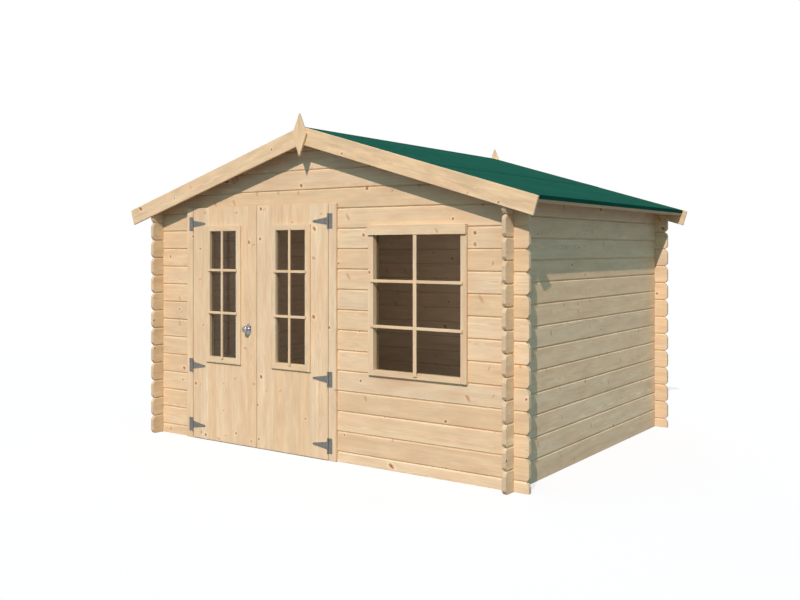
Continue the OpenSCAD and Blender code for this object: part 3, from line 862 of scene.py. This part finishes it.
# The plate is width, height and thickness; the turned part is radius and distance from the door
knobShape = {
    "plate": (0.050, 0.082, 0.004), "plateEdge": 0.0012, "plateSides": 48, "sides": 40, "smoothAngle": 50,
    "turned": (
        (0.0155, 0.0038), (0.0155, 0.0075), (0.0125, 0.0095), (0.0100, 0.0120), (0.0095, 0.0220),
        (0.0120, 0.0262), (0.0190, 0.0300), (0.0232, 0.0345), (0.0248, 0.0395), (0.0243, 0.0445),
        (0.0215, 0.0495), (0.0165, 0.0530), (0.0100, 0.0550), (0.0035, 0.0558),
    ),
}
knobLow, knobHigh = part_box("door_knob")
knobX = (knobLow.x + knobHigh.x) / 2
knobZ = (knobLow.z + knobHigh.z) / 2
knobFace = knobHigh.y


# A disc that stands up and faces the front, at a distance in front of the door
def disc(name, sides, radius, distance):
    deselectAll()
    bpy.ops.mesh.primitive_circle_add(
        vertices=sides, radius=radius, fill_type="NGON",
        location=(knobX, knobFace - distance, knobZ), rotation=(math.pi / 2, 0, 0),
    )
    piece = bpy.context.object
    piece.name = name
    applyPlace(piece)
    return piece


# The disc is drawn out into a long oval and then thickened
def knobPlate():
    width, height, thick = knobShape["plate"]
    plate = disc("plate", knobShape["plateSides"], width / 2, 0)
    for sign in (-1, 1):
        pick(plate, "VERT", lambda v: sign * (v.co.z - knobZ) > -hair)
        bpy.ops.transform.translate(value=(0, 0, sign * (height - width) / 2))
        leaveEdit()
    pick(plate, "FACE", lambda f: True)
    pushedOut(thick)
    faceOutwards()
    softEdges(plate, knobShape["plateEdge"], 3)
    return plate


# The disc is pushed out ring by ring, as if turned
def knobBall():
    rings = knobShape["turned"]
    radius, out = rings[0]
    ball = disc("ball", knobShape["sides"], radius, out)
    pick(ball, "FACE", lambda f: True)
    for nextRadius, nextOut in rings[1:]:
        pushedOut(nextOut - out)
        grow = nextRadius / radius
        bpy.ops.transform.resize(value=(grow, 1, grow), center_override=(knobX, knobFace - nextOut, knobZ))
        radius, out = nextRadius, nextOut
    faceOutwards()
    makeActive(ball)
    bpy.ops.object.shade_smooth_by_angle(angle=math.radians(knobShape["smoothAngle"]))
    return ball


knob = joined("doorKnob", [knobPlate(), knobBall()])
finished(knob, "left_door", knobMetal, ["door_knob"])
print("hinges, screws and knob made")


for node in ("left_door_glass", "right_door_glass", "window_glass"):
    glass = frame["nodes"][node]
    glass.data.materials.clear()
    glass.data.materials.append(clearGlass)
print("glass clear")


# True for what is seen straight on, in a mirror or through glass
def seenPlainly(tree):
    rays = put(tree, "LightPath").outputs
    through = calc(tree, "MAXIMUM", rays["Is Glossy Ray"], rays["Is Transmission Ray"])
    return calc(tree, "MAXIMUM", rays["Is Camera Ray"], through)


# The floor glows a little by itself, more so far away, but not under the cabin
floorLook = {
    "size": 80, "z": -0.0006, "pale": (0.95, 0.95, 0.95), "bounce": (0.2, 0.175, 0.175),
    "glow": 0.75, "fade": (4.5, 9.0), "room": (1.585, 1.272),
}


def makeFloor():
    material, tree = newMaterial("paleFloor")
    place = put(tree, "TexCoord").outputs["Object"]
    away = put(tree, "VectorMath", {"operation": "LENGTH"}, {0: place}).outputs["Value"]
    spot = put(tree, "SeparateXYZ", None, {"Vector": place}).outputs
    roomX, roomY = floorLook["room"]
    underRoof = times(
        tree, calc(tree, "LESS_THAN", calc(tree, "ABSOLUTE", spot[0]), roomX),
        calc(tree, "LESS_THAN", calc(tree, "ABSOLUTE", spot[1]), roomY),
    )
    glow = ranged(tree, away, *floorLook["fade"], floorLook["glow"], 1.0, smooth=True)
    glow = times(tree, glow, calc(tree, "SUBTRACT", 1.0, underRoof))
    white = put(tree, "Emission", None, {"Color": (1, 1, 1, 1), "Strength": 1.0})
    pale = put(tree, "BsdfDiffuse", None, {"Color": (*floorLook["pale"], 1)})
    dull = put(tree, "BsdfDiffuse", None, {"Color": (*floorLook["bounce"], 1)})
    visible = put(tree, "MixShader", None, {0: glow, 1: pale.outputs[0], 2: white.outputs[0]})
    shader = put(tree, "MixShader", None, {0: seenPlainly(tree), 1: dull.outputs[0], 2: visible.outputs[0]})
    output(tree, shader.outputs[0])
    return material


deselectAll()
bpy.ops.mesh.primitive_plane_add(size=floorLook["size"], location=(0, 0, floorLook["z"]))
floor = bpy.context.object
floor.name = "floor"
applyPlace(floor)
floor.data.materials.append(makeFloor())

worldLook = {"light": (0.28, 0.485, 0.565), "backdrop": (1.0, 1.0, 1.0)}
world = bpy.data.worlds.new("studio")
bpy.context.scene.world = world
world.use_nodes = True
tree = world.node_tree
tree.nodes.clear()
sky = mixed(tree, seenPlainly(tree), (*worldLook["light"], 1.0), (*worldLook["backdrop"], 1.0))
background = put(tree, "Background", None, {"Color": sky, "Strength": 1.0})
put(tree, "OutputWorld", None, {"Surface": background.outputs[0]})

frontSun = {
    "place": (3, -6, 6), "travel": (-0.355, 1.0, -0.88), "strength": 3.46,
    "colour": (1.0, 0.81, 0.77), "angle": 0.5,
}
# weaker and very soft, for the rear and the left wall
backSun = {
    "place": (-3, 6, 4), "travel": (0.62, -0.78, -0.02), "strength": 2.0,
    "colour": (1.0, 0.85, 0.8), "angle": 14,
}
# in the room, so that the panes aren't black
roomFill = {"place": (0.0, 0.1, 1.02), "strength": 12.6, "colour": (0.94, 0.84, 0.98), "size": 0.35}


def addLamp(kind, look):
    deselectAll()
    bpy.ops.object.light_add(type=kind, location=look["place"])
    lamp = bpy.context.object
    lamp.data.energy = look["strength"]
    lamp.data.color = look["colour"]
    return lamp


for look in (frontSun, backSun):
    sun = addLamp("SUN", look)
    sun.rotation_euler = Vector(look["travel"]).to_track_quat("-Z", "Y").to_euler()
    sun.data.angle = math.radians(look["angle"])
fill = addLamp("POINT", roomFill)
fill.data.shadow_soft_size = roomFill["size"]
fill.visible_camera = False
fill.visible_glossy = False
fill.visible_transmission = False

cameraLook = {"place": (4.183, -6.133, 1.472), "turn": 35.07, "lens": 40.73, "film": 36, "shiftY": -0.064}
deselectAll()
bpy.ops.object.camera_add(
    location=cameraLook["place"], rotation=(math.pi / 2, 0, math.radians(cameraLook["turn"])),
)
camera = bpy.context.object
camera.data.lens = cameraLook["lens"]
camera.data.sensor_width = cameraLook["film"]
camera.data.shift_y = cameraLook["shiftY"]
bpy.context.scene.camera = camera
bpy.context.scene.view_settings.view_transform = "Standard"
print("floor, light and camera set")
